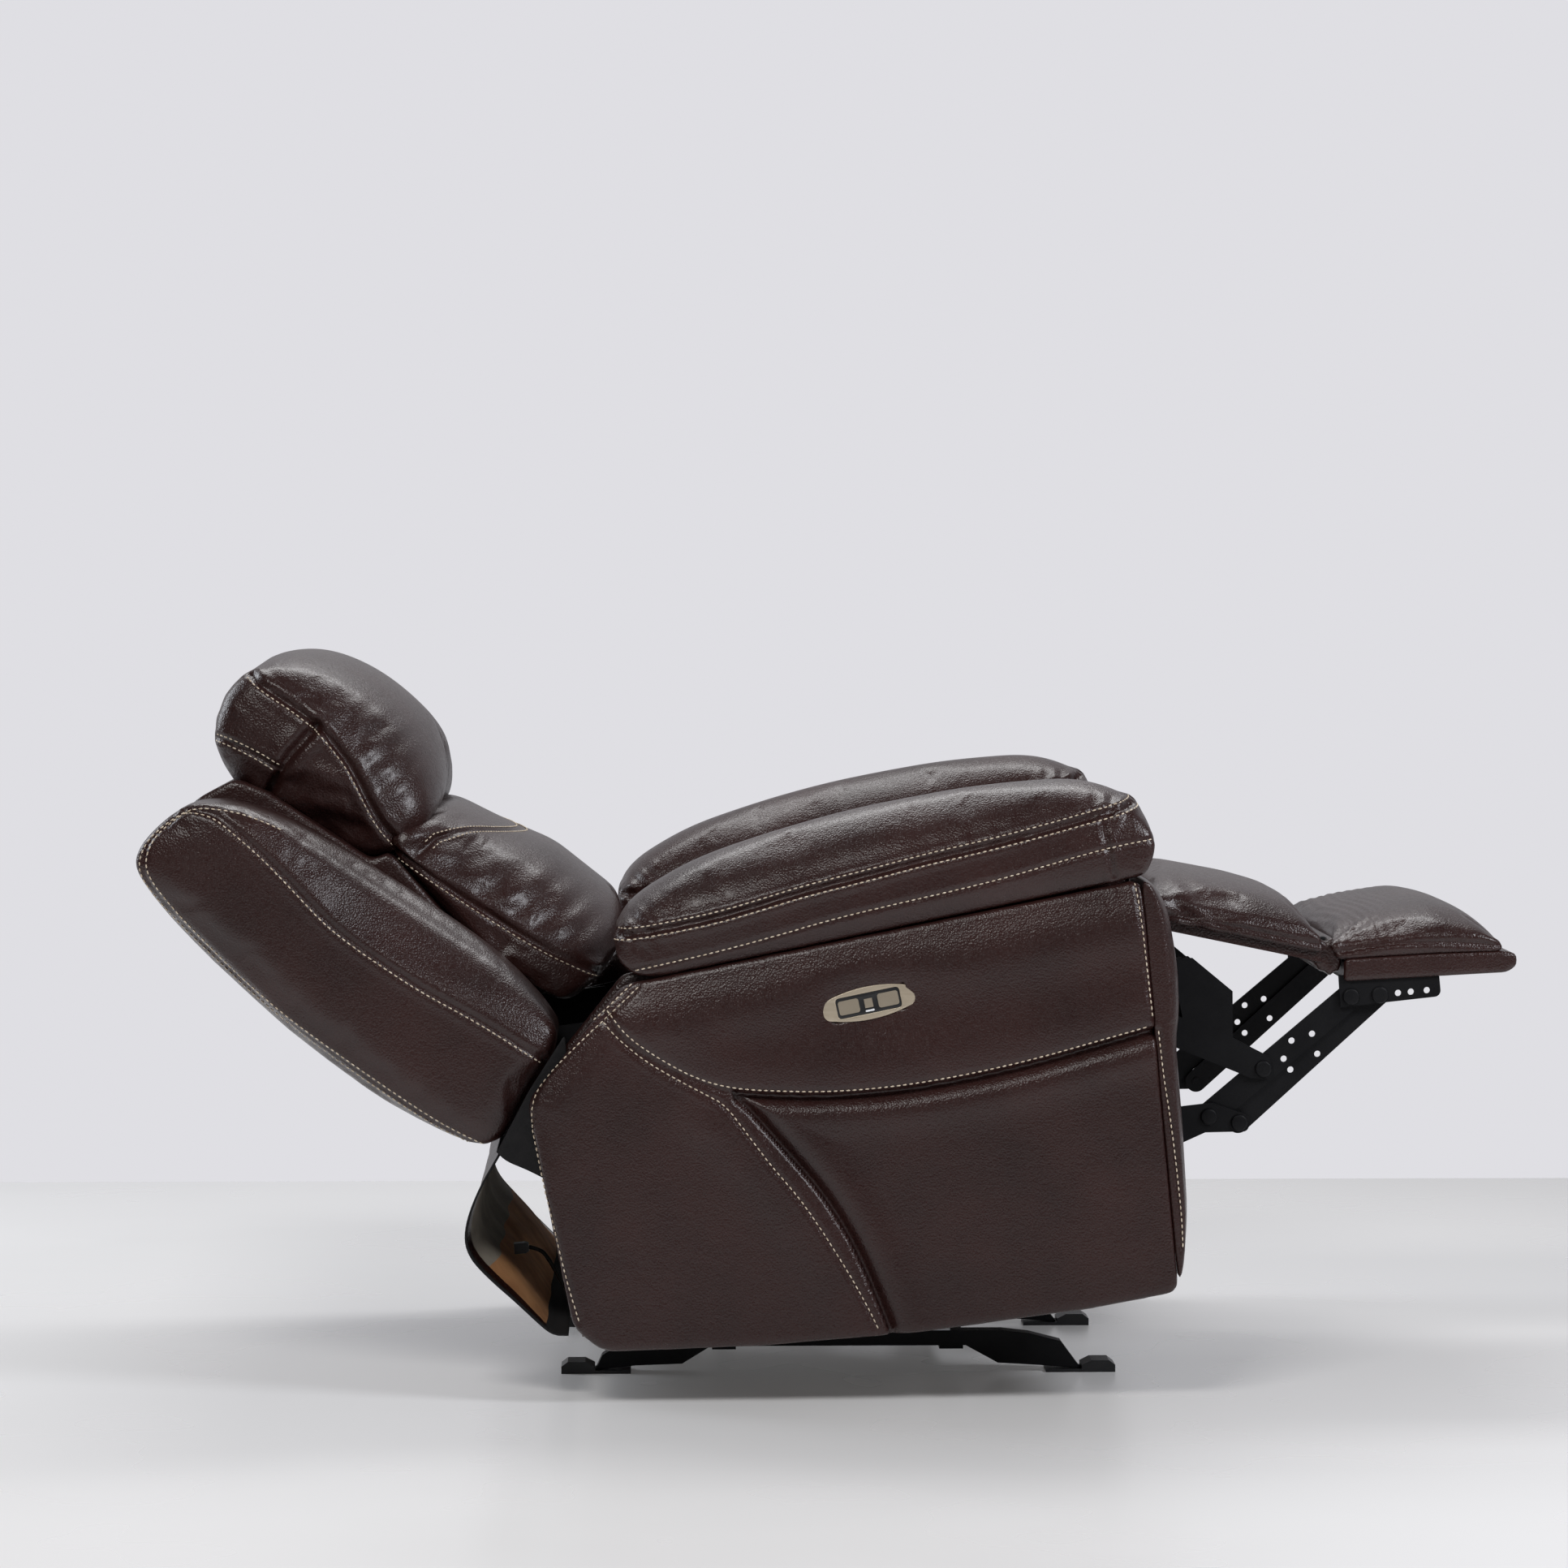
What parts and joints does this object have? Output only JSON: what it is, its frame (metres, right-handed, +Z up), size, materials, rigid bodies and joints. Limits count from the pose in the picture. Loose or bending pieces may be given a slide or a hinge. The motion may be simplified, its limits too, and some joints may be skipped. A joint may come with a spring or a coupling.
{
  "type": "recliner armchair",
  "caption": "Power rocker recliner armchair in dark brown leather, stored reclined with its footrest out on a folding steel linkage.",
  "frame": {"origin": "on the floor, under the middle of the reclined chair's overall box", "axes": "+X towards the footrest, +Y towards the sitter's left, +Z up"},
  "size_m": [1.6903, 1.003, 0.9047],
  "materials": {
    "leather": "dark espresso brown, semi-gloss, fine grain, cream stitching",
    "black_steel": "black powder coat",
    "zinc_steel": "zinc plated",
    "black_plastic": "black moulded plastic",
    "frame_wood": "raw plywood and pine",
    "black_cloth": "black woven webbing and cloth",
    "lining_cloth": "unfinished lining cloth, brown and grey-beige",
    "foam": "polyester filling",
    "champagne_metal": "satin champagne",
    "bronze_buttons": "satin bronze",
    "cord_jacket": "black cable jacket",
    "thread": "cream stitching thread"
  },
  "bodies": {
    "base": {"base_rail_right": "black_steel", "base_rail_left": "black_steel", "feet": "black_plastic", "base_crosses": "black_steel", "rocker_bearings": "zinc_steel", "rocker_springs": "zinc_steel"},
    "seat_unit": {"rocker_cams": "frame_wood", "cam_bars": "black_steel", "side_plate_right": "black_steel", "side_plate_left": "black_steel", "seat_front_rail": "frame_wood", "calf_hinge_pin": "zinc_steel", "seat_rear_rail": "frame_wood", "seat_springs": "zinc_steel", "rear_base_rail": "frame_wood", "side_panel_right": "leather", "side_panel_left": "leather", "inner_panels": "leather", "front_roll_right": "leather", "front_roll_left": "leather", "arm_rear_panels": "leather", "arm_pad_right": "leather", "arm_pad_left": "leather", "arm_frames": "frame_wood", "seat_cushion": "leather", "drive_motor": "black_plastic", "motor_cross_bar": "black_steel", "drive_rail": "black_steel", "switch_plate": "champagne_metal", "switch_housing": "black_plastic", "control_box": "black_plastic", "lead_gland": "black_plastic", "power_lead": "cord_jacket", "lead_connector": "black_plastic"},
    "back": {"wing_right": "leather", "wing_left": "leather", "rear_cover": "leather", "headrest": "leather", "back_cushion": "leather", "back_posts": "frame_wood", "back_rails": "frame_wood", "back_webbing": "black_cloth", "back_filling": "foam", "recline_hinges": "black_steel", "rear_flap": "leather"},
    "calf_unit": {"calf_board": "frame_wood", "calf_pad": "leather"},
    "footrest": {"footrest_board": "leather", "footrest_pad": "leather", "footrest_brackets": "black_steel"},
    "rear_link": {"rear_links": "black_steel"},
    "drive_link": {"drive_links": "black_steel", "cross_tube": "black_steel"},
    "long_link": {"long_links": "black_steel"},
    "guide_link": {"guide_links": "black_steel"},
    "drive_carriage": {"drive_block": "black_plastic"},
    "recline_button": {"button_recline": "bronze_buttons"},
    "upright_button": {"button_upright": "bronze_buttons"},
    "memory_button": {"button_memory": "bronze_buttons"}
  },
  "joints": [
    {"name": "body_rock", "type": "hinge", "parent": "base", "child": "seat_unit", "pos_m": [0.013, 0, 0.055], "axis": [0, 1, 0], "range_deg": [0, 10.8]},
    {"name": "back_recline", "type": "hinge", "parent": "seat_unit", "child": "back", "pos_m": [-0.28619, 0, 0.42549], "axis": [0, 1, 0], "range_deg": [0, 36]},
    {"name": "footrest_fold", "type": "hinge", "parent": "seat_unit", "child": "calf_unit", "pos_m": [0.38463, 0, 0.56524], "axis": [0, 1, 0], "range_deg": [0, 70]},
    {"name": "footrest_tuck", "type": "hinge", "parent": "calf_unit", "child": "footrest", "pos_m": [0.61633, 0, 0.53692], "axis": [0, 1, 0], "range_deg": [0, 16.4]},
    {"name": "rear_link_swing", "type": "hinge", "parent": "seat_unit", "child": "rear_link", "pos_m": [0.22848, 0, 0.43195], "axis": [0, 1, 0], "range_deg": [0, 75.26]},
    {"name": "drive_link_swing", "type": "hinge", "parent": "seat_unit", "child": "drive_link", "pos_m": [0.29484, 0, 0.48443], "axis": [0, 1, 0], "range_deg": [0, 75.6]},
    {"name": "long_link_swing", "type": "hinge", "parent": "rear_link", "child": "long_link", "pos_m": [0.47159, 0, 0.32536], "axis": [0, 1, 0], "range_deg": [-69.94, 0]},
    {"name": "guide_link_swing", "type": "hinge", "parent": "rear_link", "child": "guide_link", "pos_m": [0.50946, 0, 0.31789], "axis": [0, 1, 0], "range_deg": [-68.12, 0]},
    {"name": "drive_block_slide", "type": "slide", "parent": "seat_unit", "child": "drive_carriage", "axis": [-0.9956, 0, -0.0941], "range_m": [0, 0.19801]},
    {"name": "button_recline_press", "type": "slide", "parent": "seat_unit", "child": "recline_button", "axis": [0, 1, 0], "range_m": [0, 0.0015], "stiffness_N_per_m": 400},
    {"name": "button_upright_press", "type": "slide", "parent": "seat_unit", "child": "upright_button", "axis": [0, 1, 0], "range_m": [0, 0.0015], "stiffness_N_per_m": 400},
    {"name": "button_memory_press", "type": "slide", "parent": "seat_unit", "child": "memory_button", "axis": [0, 1, 0], "range_m": [0, 0.0015], "stiffness_N_per_m": 400}
  ],
  "couplings": [
    {"joint": "footrest_tuck", "follows": "footrest_fold", "ratio": 0.23429},
    {"joint": "rear_link_swing", "follows": "footrest_fold", "ratio": 1.0749},
    {"joint": "drive_link_swing", "follows": "footrest_fold", "ratio": 1.0799},
    {"joint": "long_link_swing", "follows": "footrest_fold", "ratio": -0.99896},
    {"joint": "guide_link_swing", "follows": "footrest_fold", "ratio": -0.97297},
    {"joint": "drive_block_slide", "follows": "footrest_fold", "m_per_rad": 0.16206}
  ]
}
